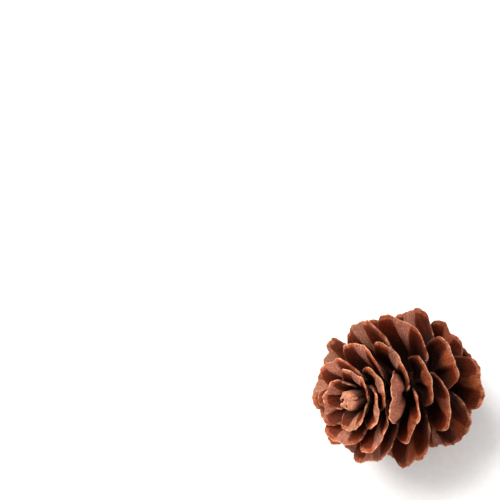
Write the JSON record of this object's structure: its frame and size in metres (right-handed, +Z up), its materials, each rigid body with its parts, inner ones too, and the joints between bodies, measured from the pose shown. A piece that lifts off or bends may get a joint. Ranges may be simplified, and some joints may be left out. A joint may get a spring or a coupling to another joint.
{
  "type": "larch cone",
  "caption": "Open woody conifer cone lying on its side, with thin spreading scales in a spiral round a slender axis, a closed bud at the tip and a short stalk stub.",
  "frame": {"origin": "centre of the bounding box, at the height of the table that the cone lies on", "axes": "+Z up; -Y towards the cone's raised tip; +Y towards its stalk; the cone's own axis is raised 45.5 degrees from -Y"},
  "size_m": [0.0267, 0.0296, 0.0293],
  "materials": {
    "scale_wood": "dry and matt, slightly glossy in the seed hollows",
    "twig_bark": "rough dry bark"
  },
  "bodies": {
    "root": {"cone": "scale_wood", "stalk": "twig_bark"}
  },
  "joints": []
}
